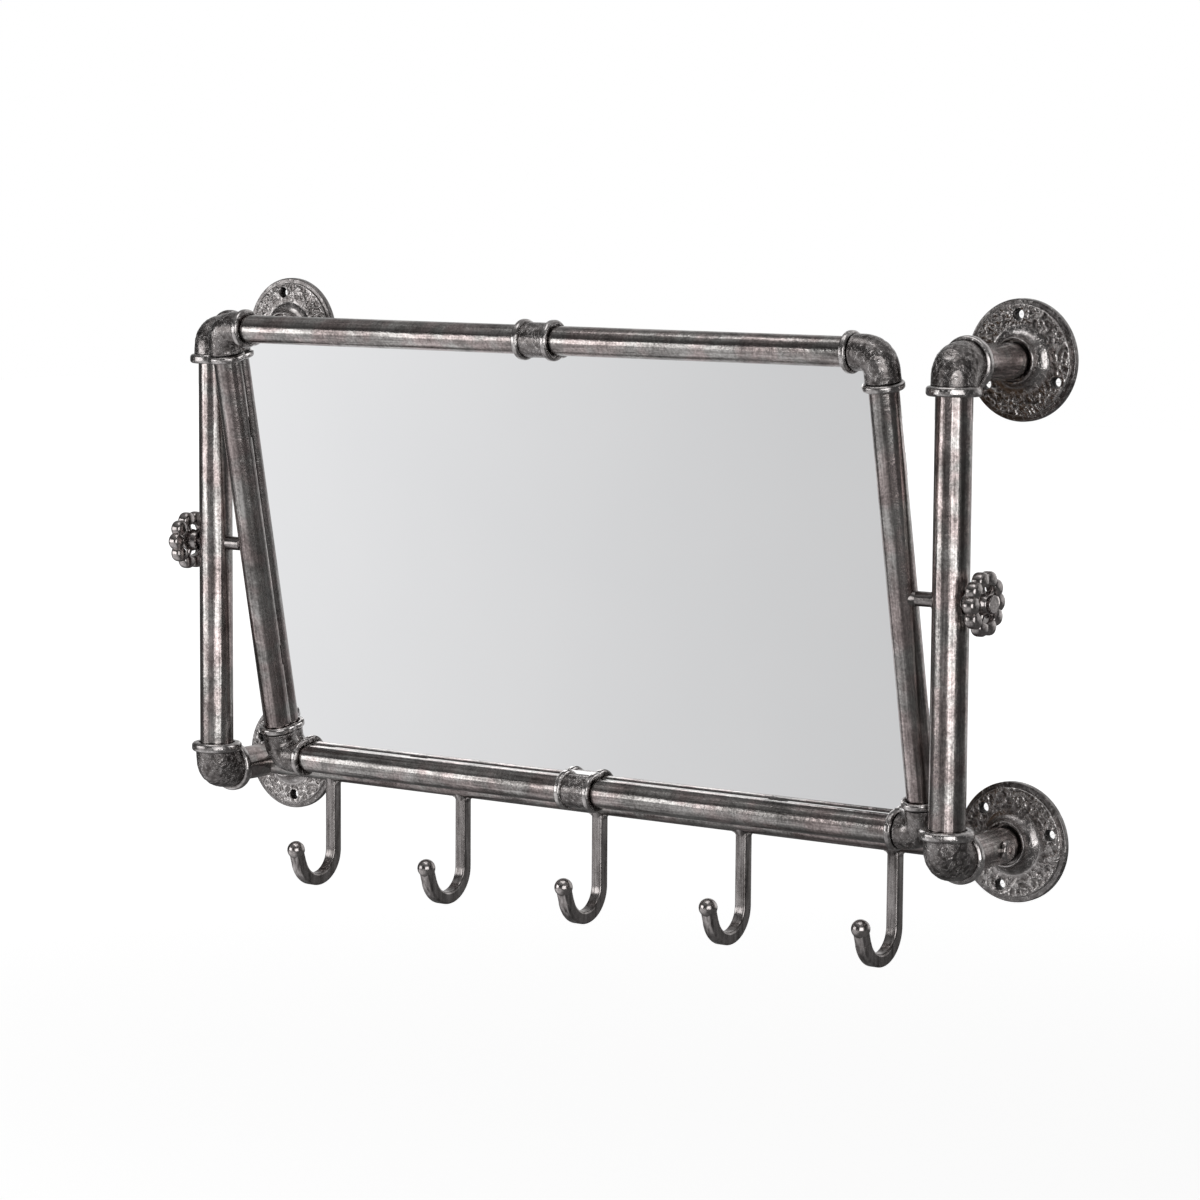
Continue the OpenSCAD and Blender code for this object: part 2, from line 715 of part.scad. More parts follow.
// Handwheel: a lobed rim on spokes, with a knob for a hub
module handwheel(side) {
    rim_z = hub_x + rim_offset;
    color(dark_iron) on_pivot(side) along_x() difference() {
        union() {
            translate([0, 0, hub_x]) rotate_extrude() wheel_hub_profile();
            translate([0, 0, rim_z - rim_band_w / 2]) rotate_extrude() rim_band_profile();
            for (i = [0 : lobe_count - 1]) rotate([0, 0, spoke_turn + i * 360 / lobe_count])
                translate([lobe_ring_r, 0, rim_z - rim_w / 2]) rotate_extrude() lobe_profile();
            for (i = [0 : spoke_count - 1]) rotate([0, 0, spoke_turn + i * 360 / spoke_count])
                translate([0, 0, rim_z]) rotate([0, 90, 0])
                    cylinder(d = spoke_d, h = (rim_inside_d + rim_outside_d) / 4);
        }
        translate([0, 0, hub_x - overrun])
            cylinder(r = spindle_r + running_gap, h = wheel_hub_length + 2 * overrun);
    }
}

// Half section of the hub of a handwheel, with its inner end on y = 0
module wheel_hub_profile() {
    polygon([
        [0, 0],
        [wheel_hub_inner_d / 2, 0],
        [wheel_hub_d / 2, rim_offset - hub_belt],
        [wheel_hub_d / 2, rim_offset + hub_belt],
        [wheel_hub_face_d / 2, wheel_hub_length],
        [0, wheel_hub_length]
    ]);
}

// Section of the band that joins the lobes, with both edges round
module rim_band_profile() {
    edge = rim_band_w / 2;
    translate([rim_inside_d / 2 + edge, edge]) circle(r = edge);
    translate([rim_outside_d / 2 - edge, edge]) circle(r = edge);
    translate([rim_inside_d / 2 + edge, 0])
        square([(rim_outside_d - rim_inside_d) / 2 - 2 * edge, rim_band_w]);
}

// Half section of one lobe: a short barrel with rounded ends
module lobe_profile() {
    intersection() {
        square([lobe_r, rim_w]);
        union() {
            square([lobe_r - lobe_round, rim_w]);
            translate([0, lobe_round]) square([lobe_r, rim_w - 2 * lobe_round]);
            for (y = [lobe_round, rim_w - lobe_round])
                translate([lobe_r - lobe_round, y]) circle(r = lobe_round);
        }
    }
}

flange(left, upper, holes_turn_upper_left);  // flange_upper_left
flange(right, upper, holes_turn_upper_right);  // flange_upper_right
flange(left, lower, holes_turn_lower_left);  // flange_lower_left
flange(right, lower, holes_turn_lower_right);  // flange_lower_right
standoff(left, upper);  // standoff_upper_left
standoff(right, upper);  // standoff_upper_right
standoff(left, lower);  // standoff_lower_left
standoff(right, lower);  // standoff_lower_right
frame_elbow(left, upper);  // frame_elbow_upper_left
frame_elbow(right, upper);  // frame_elbow_upper_right
frame_elbow(left, lower);  // frame_elbow_lower_left
frame_elbow(right, lower);  // frame_elbow_lower_right
upright(left);  // upright_left
upright(right);  // upright_right
pivot_bush(left);  // pivot_bush_left
pivot_bush(right);  // pivot_bush_right
hook_rail();
rail_plugs();
rail_screws();
hook(1);  // hook_1
hook(2);  // hook_2
hook(3);  // hook_3
hook(4);  // hook_4
hook(5);  // hook_5
hook_balls();
mirror_elbow(left, upper);  // mirror_elbow_upper_left
mirror_elbow(right, upper);  // mirror_elbow_upper_right
mirror_elbow(left, lower);  // mirror_elbow_lower_left
mirror_elbow(right, lower);  // mirror_elbow_lower_right
side_pipe(left);  // side_pipe_left
side_pipe(right);  // side_pipe_right
mirror_rail(left, upper, coupling_top_x);  // top_rail_left
mirror_rail(right, upper, coupling_top_x);  // top_rail_right
mirror_rail(left, lower, coupling_bottom_x);  // bottom_rail_left
mirror_rail(right, lower, coupling_bottom_x);  // bottom_rail_right
coupling(upper, coupling_top_x);  // coupling_top
coupling(lower, coupling_bottom_x);  // coupling_bottom
mirror_glass();
backing_board();
retaining_clips();
clip_screws();
pivot_rod(left);  // pivot_rod_left
pivot_rod(right);  // pivot_rod_right
washer(left);  // washer_left
washer(right);  // washer_right
end_cap(left);  // end_cap_left
end_cap(right);  // end_cap_right
handwheel(left);  // handwheel_left
handwheel(right);  // handwheel_right
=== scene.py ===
import math

import bpy
from mathutils import Matrix, Vector


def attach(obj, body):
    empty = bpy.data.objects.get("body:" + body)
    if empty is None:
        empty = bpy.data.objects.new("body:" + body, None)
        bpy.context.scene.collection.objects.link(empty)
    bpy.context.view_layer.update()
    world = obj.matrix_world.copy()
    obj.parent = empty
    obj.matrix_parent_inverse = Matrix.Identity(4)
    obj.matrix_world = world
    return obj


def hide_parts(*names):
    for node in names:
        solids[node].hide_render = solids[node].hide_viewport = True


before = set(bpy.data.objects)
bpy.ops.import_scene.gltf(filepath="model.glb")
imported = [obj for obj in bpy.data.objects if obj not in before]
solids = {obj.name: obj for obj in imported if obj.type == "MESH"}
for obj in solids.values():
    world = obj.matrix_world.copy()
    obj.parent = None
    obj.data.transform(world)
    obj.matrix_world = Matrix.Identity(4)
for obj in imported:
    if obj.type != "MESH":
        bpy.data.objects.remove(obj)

# The studio: a pale floor well below the mirror, white behind it, two upright soft
# boxes in front and a soft one overhead. The camera stands to the right of the mirror,
# a little above its middle, and looks slightly down.

for leftover in ("Cube", "Light", "Camera"):
    if leftover in bpy.data.objects:
        bpy.data.objects.remove(bpy.data.objects[leftover])
bpy.ops.object.select_all(action="DESELECT")
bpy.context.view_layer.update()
bpy.context.scene.view_settings.view_transform = "Standard"

CAMERA_PLACE = (1.65248, -2.3471, 0.29607)
CAMERA_TURN = math.radians(35.64)
CAMERA_DIP = math.radians(6.32)
CAMERA_ROLL = math.radians(0.4)
SENSOR = 36.0
LENS_SHARE = 3.1973
camera_data = bpy.data.cameras.new("camera")
camera_data.sensor_width = SENSOR
camera_data.lens = SENSOR * LENS_SHARE
camera = bpy.data.objects.new("camera", camera_data)
bpy.context.scene.collection.objects.link(camera)
camera.matrix_world = (
    Matrix.Translation(CAMERA_PLACE)
    @ Matrix.Rotation(CAMERA_TURN, 4, "Z")
    @ Matrix.Rotation(math.pi / 2 - CAMERA_DIP, 4, "X")
    @ Matrix.Rotation(CAMERA_ROLL, 4, "Z")
)
bpy.context.scene.camera = camera


def join(tree, made, sockets):
    """Links or sets the inputs of a new node by name or number."""
    for socket, value in sockets:
        target = made.inputs[socket]
        if isinstance(value, bpy.types.NodeSocket):
            tree.links.new(value, target)
        else:
            target.default_value = value
    return made


def put(tree, kind, options=(), **sockets):
    """Adds a node with its options, and its inputs, whose names' spaces are underscores."""
    made = tree.nodes.new("ShaderNode" + kind)
    for option, value in dict(options).items():
        setattr(made, option, value)
    return join(tree, made, [(name.replace("_", " "), v) for name, v in sockets.items()])


def calc(tree, operation, *terms):
    """One Math node."""
    made = tree.nodes.new("ShaderNodeMath")
    made.operation = operation
    return join(tree, made, enumerate(terms)).outputs[0]


def weighed(tree, *parts):
    """The sum of (value, weight) pairs."""
    total = 0.0
    for value, weight in parts:
        total = calc(tree, "MULTIPLY_ADD", value, weight, total)
    return total


def vector_calc(tree, operation, *terms):
    """The value of one Vector Math node."""
    made = tree.nodes.new("ShaderNodeVectorMath")
    made.operation = operation
    return join(tree, made, enumerate(terms)).outputs["Value"]


def soft_step(tree, value, start, end):
    """0 below start, 1 above end, and smooth between them; start may be above end."""
    made = tree.nodes.new("ShaderNodeMapRange")
    made.interpolation_type = "SMOOTHSTEP"
    return join(tree, made, enumerate((value, start, end, 0.0, 1.0))).outputs[0]


def ramp(tree, value, *stops):
    """A colour ramp with stops of (place, colour)."""
    made = tree.nodes.new("ShaderNodeValToRGB")
    tree.links.new(value, made.inputs[0])
    band = made.color_ramp.elements
    while len(band) < len(stops):
        band.new(0.5)
    for element, (place, colour) in zip(band, stops):
        element.position = place
        element.color = (*colour[:3], 1.0)
    return made.outputs[0]


def blend_colour(tree, share, first, second, mode="MIX"):
    """Two colours mixed by share."""
    made = tree.nodes.new("ShaderNodeMix")
    made.data_type = "RGBA"
    made.blend_type = mode
    sockets = ((0, share), (6, first), (7, second))
    return join(tree, made, sockets).outputs[2]


def blend_shader(tree, share, first, second):
    """Two surfaces mixed by share."""
    made = tree.nodes.new("ShaderNodeMixShader")
    return join(tree, made, enumerate((share, first, second))).outputs[0]


def grey(level):
    """An even grey."""
    return (level, level, level, 1.0)


def empty_tree(owner):
    """The emptied node tree of a material or world."""
    owner.use_nodes = True
    owner.node_tree.nodes.clear()
    return owner.node_tree


FLOOR_Z = -0.75
FLOOR_SIZE = 24.0
# The glow of the patch that the glass reflects, a painted reflection.
PATCH_PLACE = (-1.06, -1.5, 0.0)
PATCH_DIM = (0.59, 0.59, 0.595)
PATCH_BRIGHT = (0.9, 0.9, 0.91)
bpy.ops.mesh.primitive_plane_add(size=FLOOR_SIZE, location=(0.0, 0.0, FLOOR_Z))
floor = bpy.context.object
floor.name = "floor"
floor_paint = bpy.data.materials.new("floor_paint")
tree = empty_tree(floor_paint)
rays = put(tree, "LightPath").outputs
place = put(tree, "TexCoord").outputs["Object"]
axes = put(tree, "SeparateXYZ", Vector=place).outputs
# To every ray but the camera's the floor glows, as a painted reflection for the glass
# and metal that lights them too. What the glass sees of it is a glowing patch in front
# to the left, which pales towards the left. Round the patch the glow is dark. Farther
# out it is paler in front, between the two lamps, and paler still behind the mirror.
along = weighed(tree, (axes["X"], -0.85), (axes["Y"], 0.53))
patch = ramp(tree, soft_step(tree, along, -0.55, 1.1), (0.0, PATCH_DIM), (1.0, PATCH_BRIGHT))
from_patch = vector_calc(tree, "DISTANCE", place, PATCH_PLACE)
near_glow = blend_colour(tree, soft_step(tree, from_patch, 1.15, 1.8), patch, grey(0.13))
reach = vector_calc(tree, "LENGTH", place)
sideways = calc(tree, "ADD", calc(tree, "DIVIDE", axes["X"], reach), 0.04)
between = soft_step(tree, calc(tree, "ABSOLUTE", sideways), 0.5, 0.3)
far_front = ramp(tree, between, (0.0, grey(0.08)), (1.0, grey(0.4)))
behind = soft_step(tree, calc(tree, "DIVIDE", axes["Y"], reach), 0.6, 0.95)
far_glow = blend_colour(tree, behind, far_front, grey(0.6))
reflection_glow = blend_colour(tree, soft_step(tree, reach, 3.0, 4.4), near_glow, far_glow)
mirrored = put(tree, "Emission", Color=reflection_glow, Strength=1.0).outputs[0]
# The camera sees it fade into the white behind it, with the shadow still on it.
fade = ramp(tree, soft_step(tree, reach, 0.6, 6.0), (0.0, grey(0.64)), (1.0, grey(0.97)))
glow = put(tree, "Emission", Color=fade, Strength=1.0).outputs[0]
shadowed = put(tree, "BsdfDiffuse", Color=grey(0.72)).outputs[0]
seen = join(tree, tree.nodes.new("ShaderNodeAddShader"), enumerate((shadowed, glow))).outputs[0]
upper_side = blend_shader(tree, rays["Is Camera Ray"], mirrored, seen)
# From below it is clear.
below = put(tree, "NewGeometry").outputs["Backfacing"]
clear = put(tree, "BsdfTransparent").outputs[0]
put(tree, "OutputMaterial", Surface=blend_shader(tree, below, upper_side, clear))
floor.data.materials.append(floor_paint)

# The camera sees white behind the mirror, and the metal a dark room that pales behind it
# and overhead.
world = bpy.context.scene.world or bpy.data.worlds.new("world")
bpy.context.scene.world = world
tree = empty_tree(world)
rays = put(tree, "LightPath").outputs
way = put(tree, "SeparateXYZ", Vector=put(tree, "TexCoord").outputs["Generated"]).outputs
room = ramp(
    tree, calc(tree, "MULTIPLY_ADD", way["Y"], 0.5, 0.5),
    (0.0, grey(0.07)), (0.68, grey(0.07)), (0.84, grey(0.55)), (1.0, grey(0.95)),
)
overhead = soft_step(tree, way["Z"], 0.35, 0.9)
room = blend_colour(tree, overhead, room, grey(0.32), "LIGHTEN")
sky = blend_colour(tree, rays["Is Camera Ray"], room, grey(1.0))
put(tree, "OutputWorld", Surface=put(tree, "Background", Color=sky, Strength=1.0).outputs[0])

LAMP_AIM = Vector((0.0, -0.05, 0.0))


def soft_box(name, azimuth, height, distance, size, level):
    """An oblong lamp that faces the mirror; azimuth 0 is straight in front of it."""
    lamp = bpy.data.lights.new(name, "AREA")
    lamp.shape = "RECTANGLE"
    lamp.size, lamp.size_y = size
    lamp.energy = level * math.pi * size[0] * size[1]
    holder = bpy.data.objects.new(name, lamp)
    bpy.context.scene.collection.objects.link(holder)
    a = math.radians(azimuth)
    spot = Vector((distance * math.sin(a), -distance * math.cos(a), height))
    holder.location = spot
    holder.rotation_euler = (LAMP_AIM - spot).to_track_quat("-Z", "Y").to_euler()
    holder.visible_camera = False


soft_box("soft_box_left", azimuth=-45.0, height=0.1, distance=2.3, size=(1.5, 1.0), level=2.2)
soft_box("soft_box_right", azimuth=44.0, height=0.0, distance=3.2, size=(2.6, 2.6), level=2.2)
soft_box("soft_box_top", azimuth=-20.0, height=2.4, distance=0.7, size=(2.4, 1.0), level=1.6)


# The pipes: thin steel tube, plated an antique gunmetal and rubbed lengthwise, so
# bright streaks show through a brown-grey patina.

TILT = math.radians(11.5)
PIVOT = Vector((0.0, -0.095, 0.009))
GRAIN_ALONG = 14.0
GRAIN_ACROSS = 420.0
PATINA = (0.1, 0.09, 0.087)
GUNMETAL = (0.34, 0.315, 0.308)
RUBBED_GUNMETAL = (0.6, 0.565, 0.555)
COOL_TINT = (0.97, 1.0, 0.99)
WARM_TINT = (1.04, 0.955, 0.95)


def local_place(tree, leaning=False):
    """Object coordinates, or for the mirror's pieces those of the upright mirror."""
    coords = put(tree, "TexCoord").outputs["Object"]
    if not leaning:
        return coords
    turn = Matrix.Rotation(-TILT, 3, "X")
    made = put(tree, "Mapping", Vector=coords)
    made.inputs["Rotation"].default_value = (-TILT, 0.0, 0.0)
    made.inputs["Location"].default_value = -(turn @ PIVOT)
    return made.outputs[0]


def stretched(tree, coords, scale):
    """Coordinates scaled along each axis."""
    made = put(tree, "Mapping", Vector=coords)
    made.inputs["Scale"].default_value = scale
    return made.outputs[0]


def noise(tree, coords, scale, detail=4.0, roughness=0.6, distortion=0.0):
    """The value of a noise texture."""
    return put(
        tree, "TexNoise", Vector=coords, Scale=scale, Detail=detail,
        Roughness=roughness, Distortion=distortion,
    ).outputs[0]


def metal(tree, colour, roughness, height, relief):
    """A metal surface with its relief in metres."""
    bump = put(tree, "Bump", Strength=1.0, Distance=relief, Height=height)
    shader = put(
        tree, "BsdfPrincipled", Base_Color=colour, Metallic=1.0,
        Roughness=roughness, Normal=bump.outputs[0],
    )
    put(tree, "OutputMaterial", Surface=shader.outputs[0])


def pipe_finish(name, axis, leaning=False):
    """Rubbed gunmetal whose streaks run along axis, 0 to 2."""
    paint = bpy.data.materials.new(name)
    tree = empty_tree(paint)
    coords = local_place(tree, leaning)
    grain = [GRAIN_ACROSS] * 3
    grain[axis] = GRAIN_ALONG
    streak = noise(tree, stretched(tree, coords, grain), 1.0, detail=5.0, distortion=0.4)
    cloud = noise(tree, coords, 55.0, distortion=0.5)
    spots = noise(tree, coords, 480.0, detail=3.0, roughness=0.7)
    wear = weighed(tree, (streak, 0.4), (cloud, 0.3), (spots, 0.3))
    colour = ramp(tree, wear, (0.38, PATINA), (0.5, GUNMETAL), (0.6, RUBBED_GUNMETAL))
    warm = soft_step(tree, noise(tree, coords, 38.0, detail=2.0), 0.4, 0.62)
    tint = ramp(tree, warm, (0.0, COOL_TINT), (1.0, WARM_TINT))
    colour = blend_colour(tree, 1.0, colour, tint, "MULTIPLY")
    roughness = calc(tree, "MULTIPLY_ADD", soft_step(tree, wear, 0.36, 0.6), -0.11, 0.27)
    height = weighed(tree, (cloud, 1.0), (streak, 0.2), (spots, 0.1))
    metal(tree, colour, roughness, height, relief=0.0004)
    return paint


def dress(names, paint):
    """Gives CAD pieces a finish."""
    for name in names:
        mesh = solids[name].data
        mesh.materials.clear()
        mesh.materials.append(paint)


SIDES = ("left", "right")
SIDE_SIGNS = {"left": -1.0, "right": 1.0}
LEVEL_SIGNS = {"upper": 1.0, "lower": -1.0}
CORNERS = [f"{level}_{side}" for level in LEVEL_SIGNS for side in SIDES]
dress([f"standoff_{corner}" for corner in CORNERS], pipe_finish("standoff_gunmetal", 1))
dress([f"upright_{side}" for side in SIDES], pipe_finish("upright_gunmetal", 2))
dress(["hook_rail"], pipe_finish("hook_rail_gunmetal", 0))
dress(
    [f"side_pipe_{side}" for side in SIDES],
    pipe_finish("side_pipe_gunmetal", 2, leaning=True),
)
dress(
    [f"{row}_rail_{side}" for row in ("top", "bottom") for side in SIDES],
    pipe_finish("rail_gunmetal", 0, leaning=True),
)


# The wall flanges: cast iron discs with a bell hub round the stand-off, each screwed to
# the wall through three countersunk holes. The face is rough as cast, with its ridges
# rubbed bright, the band round it is turned smooth, and the hub is worn.

# The colour of the painted shade down in holes and grooves.
HOLE_DARK = (0.02, 0.018, 0.018, 1.0)
CAST_DARK = (0.09, 0.081, 0.078)
CAST_MIDDLE = (0.24, 0.221, 0.216)
CAST_PALE = (0.44, 0.415, 0.408)
CAST_RIDGE = (0.62, 0.59, 0.58, 1.0)
WORN_DARK = (0.3, 0.28, 0.275)
WORN_MIDDLE = (0.48, 0.455, 0.448)
WORN_PALE = (0.7, 0.67, 0.66)


def middle_lines(tree, field, width):
    """1 on the lines where a noise passes its middle, fading over a width."""
    off_middle = calc(tree, "ABSOLUTE", calc(tree, "SUBTRACT", field, 0.5))
    return soft_step(tree, off_middle, width, 0.0)


def veins(tree, coords, scale, width):
    """Short curved strokes, as in rough cast iron."""
    field = noise(tree, coords, scale, detail=2.0, roughness=0.55, distortion=1.6)
    return middle_lines(tree, field, width)


def scratches(tree, coords, turn, width):
    """Long straight scratches, turned about the wall's axis."""
    made = put(tree, "Mapping", Vector=coords)
    made.inputs["Rotation"].default_value = (0.3, math.radians(turn), 0.2)
    drawn = stretched(tree, made.outputs[0], (260.0, 160.0, 38.0))
    field = noise(tree, drawn, 1.0, detail=1.0, roughness=0.5, distortion=0.3)
    return middle_lines(tree, field, width)


def read_share(tree, name):
    """A share from 0 to 1 kept at the points of a casting."""
    return put(tree, "Attribute", {"attribute_name": name}).outputs["Fac"]


def cast_surface(tree, coords, polish, ridge=0.0):
    """Cast iron; polish is 1 where it is worn smooth and ridge 1 on the tops of a rough
    face. The share named shade is painted shade, 1 down in a hole or groove."""
    cloud = noise(tree, coords, 90.0, detail=3.0)
    lumps = noise(tree, coords, 300.0, detail=2.0, roughness=0.5)
    steep = scratches(tree, coords, 28.0, 0.02)
    strokes = calc(tree, "MAXIMUM", steep, scratches(tree, coords, -41.0, 0.016))
    curved = calc(tree, "MULTIPLY", veins(tree, coords, 190.0, 0.022), 0.8)
    strokes = calc(tree, "MAXIMUM", strokes, curved)
    broken = calc(tree, "MULTIPLY", strokes, soft_step(tree, lumps, 0.42, 0.58))
    wear = weighed(tree, (cloud, 0.5), (lumps, 0.5))
    dark = ramp(tree, wear, (0.36, CAST_DARK), (0.52, CAST_MIDDLE), (0.66, CAST_PALE))
    worn = ramp(tree, wear, (0.36, WORN_DARK), (0.5, WORN_MIDDLE), (0.62, WORN_PALE))
    bright = calc(tree, "MAXIMUM", calc(tree, "MULTIPLY", broken, 0.8), ridge)
    flecked = blend_colour(tree, bright, dark, CAST_RIDGE)
    colour = blend_colour(tree, polish, flecked, worn)
    # Painted shade: the colour darkens down in holes and grooves, by the share named shade.
    colour = blend_colour(tree, read_share(tree, "shade"), colour, HOLE_DARK)
    smoother = soft_step(tree, wear, 0.4, 0.62)
    roughness = weighed(tree, (1.0, 0.31), (smoother, -0.1), (polish, -0.09))
    height = weighed(tree, (lumps, 0.12), (broken, 0.4), (cloud, 1.1))
    held = calc(tree, "MULTIPLY_ADD", polish, -0.75, 1.0)
    metal(tree, colour, roughness, calc(tree, "MULTIPLY", height, held), relief=0.0005)


def distance_from(tree, first, second):
    """The distance from an axis, of two offsets from it."""
    return calc(tree, "SQRT", weighed(tree, (first, first), (second, second)))


UPRIGHT_X = 0.332
STANDOFF_Z = 0.17
FLANGE_R = 0.043
FLANGE_STEPS = 480
BAND_W = 0.0037
BAND_T = 0.0042
FACE_T = 0.006
FACE_RINGS = 44
EDGE_ROUND = 0.0009
BORE_R = 0.01315
RECESS_R = 0.0145
RECESS_FLOOR = 0.0105
LIP_R = 0.0165
LIP_ROUND = 0.001
HUB_H = 0.0165
FLARE = 0.0095
BELL_WORN = 0.0065
RIDGE_RISE = 0.0006
SCREW_CIRCLE_R = 0.032
SCREW_HOLE_R = 0.003
COUNTERSINK_R = 0.0042
COUNTERSINK_DEPTH = 0.003
CENTRE_R = 0.0001
HOLES_TURN = {"upper_left": 101.0, "upper_right": 93.0, "lower_left": 37.0, "lower_right": 15.0}


def arc(centre, radius, start, end, steps):
    """Points of an arc in a half section, from start to end in degrees."""
    turns = [math.radians(start + (end - start) * i / steps) for i in range(steps + 1)]
    return [(centre[0] + radius * math.cos(a), centre[1] + radius * math.sin(a)) for a in turns]


def draw_out(axis, outline):
    """Draws the selected ring out along an axis, 0 to 2, through its (radius, place)s."""
    for (r, place), (next_r, next_place) in zip(outline, outline[1:]):
        step = Vector((0.0, 0.0, 0.0))
        step[axis] = next_place - place
        growth = Vector((next_r / r, next_r / r, next_r / r))
        growth[axis] = 1.0
        bpy.ops.mesh.extrude_region_move(TRANSFORM_OT_translate={"value": step})
        bpy.ops.transform.resize(value=growth)


def start_ring(name, steps, radius, axis, place):
    """A ring round an axis, open in edit mode and ready to be drawn out."""
    bpy.ops.object.select_all(action="DESELECT")
    bpy.ops.mesh.primitive_circle_add(vertices=steps, radius=radius)
    piece = bpy.context.object
    piece.name = name
    turn = (0.0, math.pi / 2, 0.0) if axis == 0 else (0.0, 0.0, 0.0)
    piece.rotation_euler = turn
    piece.location[axis] = place
    bpy.ops.object.transform_apply(location=True, rotation=True, scale=True)
    bpy.ops.object.mode_set(mode="EDIT")
    bpy.ops.mesh.select_all(action="SELECT")
    return piece


def close_up():
    """Joins the last ring to the first, with the faces outwards, and leaves edit mode."""
    bpy.ops.mesh.select_all(action="SELECT")
    bpy.ops.mesh.remove_doubles(threshold=0.00001)
    bpy.ops.mesh.normals_make_consistent(inside=False)
    bpy.ops.object.mode_set(mode="OBJECT")


def turned(name, steps, outline, axis=2):
    """A closed turned piece, from the (radius, place)s of its half section."""
    piece = start_ring(name, steps, outline[0][0], axis, outline[0][1])
    draw_out(axis, outline + outline[:1])
    close_up()
    return piece


def finish_modifier(piece, kind, **settings):
    """Adds a modifier with its settings and applies it."""
    bpy.context.view_layer.objects.active = piece
    made = piece.modifiers.new(kind.lower(), kind)
    for setting, value in settings.items():
        setattr(made, setting, value)
    bpy.ops.object.modifier_apply(modifier=made.name)


def cut(piece, kind, tool):
    """Drills a piece with a tool, or welds the tool to it, and clears the tool away."""
    finish_modifier(piece, "BOOLEAN", object=tool, operation=kind, solver="EXACT")
    bpy.data.objects.remove(tool)


def clamped(value, least=0.0):
    """A value held between a least one and 1."""
    return min(max(value, least), 1.0)


def keep_share(piece, name, share):
    """Keeps share(point) at every point of a piece, for its material."""
    kept = piece.data.attributes.new(name, "FLOAT", "POINT")
    for point, value in zip(piece.data.vertices, kept.data):
        value.value = clamped(share(point.co))


def smooth_faces(piece, degrees):
    """Shades a piece smooth, apart from its sharp edges."""
    bpy.ops.object.select_all(action="DESELECT")
    piece.select_set(True)
    bpy.context.view_layer.objects.active = piece
    bpy.ops.object.shade_smooth_by_angle(angle=math.radians(degrees))


def set_in_place(casting, name, place, paint, replaced, body):
    """A copy of a casting with its own mesh, put in place of a CAD piece."""
    mesh = casting.data.copy()
    piece = bpy.data.objects.new(name, mesh)
    bpy.context.scene.collection.objects.link(piece)
    mesh.transform(place)
    if place.determinant() < 0.0:
        mesh.flip_normals()
    mesh.materials.append(paint)
    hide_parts(replaced)
    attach(piece, body)


flare_end = LIP_R + FLARE
face_end = FLANGE_R - BAND_W
face_width = face_end - EDGE_ROUND - flare_end
section = [(BORE_R, 0.0), (BORE_R, RECESS_FLOOR)]
section += [(RECESS_R, RECESS_FLOOR), (RECESS_R, HUB_H - LIP_ROUND)]
section += arc((RECESS_R + LIP_ROUND, HUB_H - LIP_ROUND), LIP_ROUND, 180.0, 0.0, 8)[1:]
section += arc((flare_end, FACE_T + FLARE), FLARE, 180.0, 270.0, 22)[1:]
section += [(flare_end + face_width * i / FACE_RINGS, FACE_T) for i in range(1, FACE_RINGS + 1)]
section += arc((face_end - EDGE_ROUND, FACE_T - EDGE_ROUND), EDGE_ROUND, 90.0, 0.0, 4)[1:]
section += [(face_end, BAND_T), (face_end + EDGE_ROUND, BAND_T)]
section += [(FLANGE_R - 2.0 * EDGE_ROUND, BAND_T)]
section += arc((FLANGE_R - EDGE_ROUND, BAND_T - EDGE_ROUND), EDGE_ROUND, 90.0, 0.0, 4)
section += [(FLANGE_R, 0.0), (0.03, 0.0), (0.02, 0.0)]
casting = turned("flange_casting", FLANGE_STEPS, section)

# The ridges of the rough face rise out of it; they die away up the bell of the hub.
rough = casting.vertex_groups.new(name="rough")
for vertex in casting.data.vertices:
    r = math.hypot(vertex.co.x, vertex.co.y)
    if vertex.co.z > FACE_T - 0.00001:
        inner = clamped((r - LIP_R - BELL_WORN) / 0.006, 0.05)
        outer = clamped((face_end - 0.0004 - r) / 0.0006)
        rough.add([vertex.index], inner * outer, "REPLACE")
ridges = bpy.data.textures.new("cast_ridges", "MUSGRAVE")
ridges.musgrave_type = "RIDGED_MULTIFRACTAL"
ridges.noise_scale = 0.0042
ridges.octaves = 3.0
creases = bpy.data.textures.new("cast_creases", "VORONOI")
creases.weight_1 = -1.0
creases.weight_2 = 1.0
creases.noise_scale = 0.0046
for texture, strength, middle in ((ridges, RIDGE_RISE, 0.6), (creases, -1.5 * RIDGE_RISE, 0.3)):
    finish_modifier(
        casting, "DISPLACE", texture=texture, texture_coords="LOCAL", direction="Z",
        strength=strength, mid_level=middle, vertex_group="rough",
    )

holes = []
for turn in (0.0, 120.0, 240.0):
    a = math.radians(turn)
    holes.append(Vector((SCREW_CIRCLE_R * math.cos(a), SCREW_CIRCLE_R * math.sin(a), 0.0)))
# The drill runs past both faces of the flange, and its cone past the countersink's rim.
sink_floor = FACE_T - COUNTERSINK_DEPTH
cone_r = COUNTERSINK_R + 0.0025
cone_rise = (cone_r - SCREW_HOLE_R) * COUNTERSINK_DEPTH / (COUNTERSINK_R - SCREW_HOLE_R)
for hole in holes:
    drill = turned("drill", 48, [
        (CENTRE_R, -0.002), (SCREW_HOLE_R, -0.002), (SCREW_HOLE_R, sink_floor),
        (cone_r, sink_floor + cone_rise), (CENTRE_R, FACE_T + 0.01),
    ])
    drill.data.transform(Matrix.Translation(hole))
    cut(casting, "DIFFERENCE", drill)


def from_hole(point):
    """How far a point is from the axis of the nearest screw hole."""
    return min(math.hypot(point.x - hole.x, point.y - hole.y) for hole in holes)


def flange_shade(point):
    """1 on the wall of a screw hole, where it paints shade, and less on the outer band, which
    it makes darker.
    """
    if point.z < FACE_T - 0.00025 and from_hole(point) < COUNTERSINK_R:
        return 1.0
    return 0.35 if math.hypot(point.x, point.y) > face_end + 0.0004 else 0.0


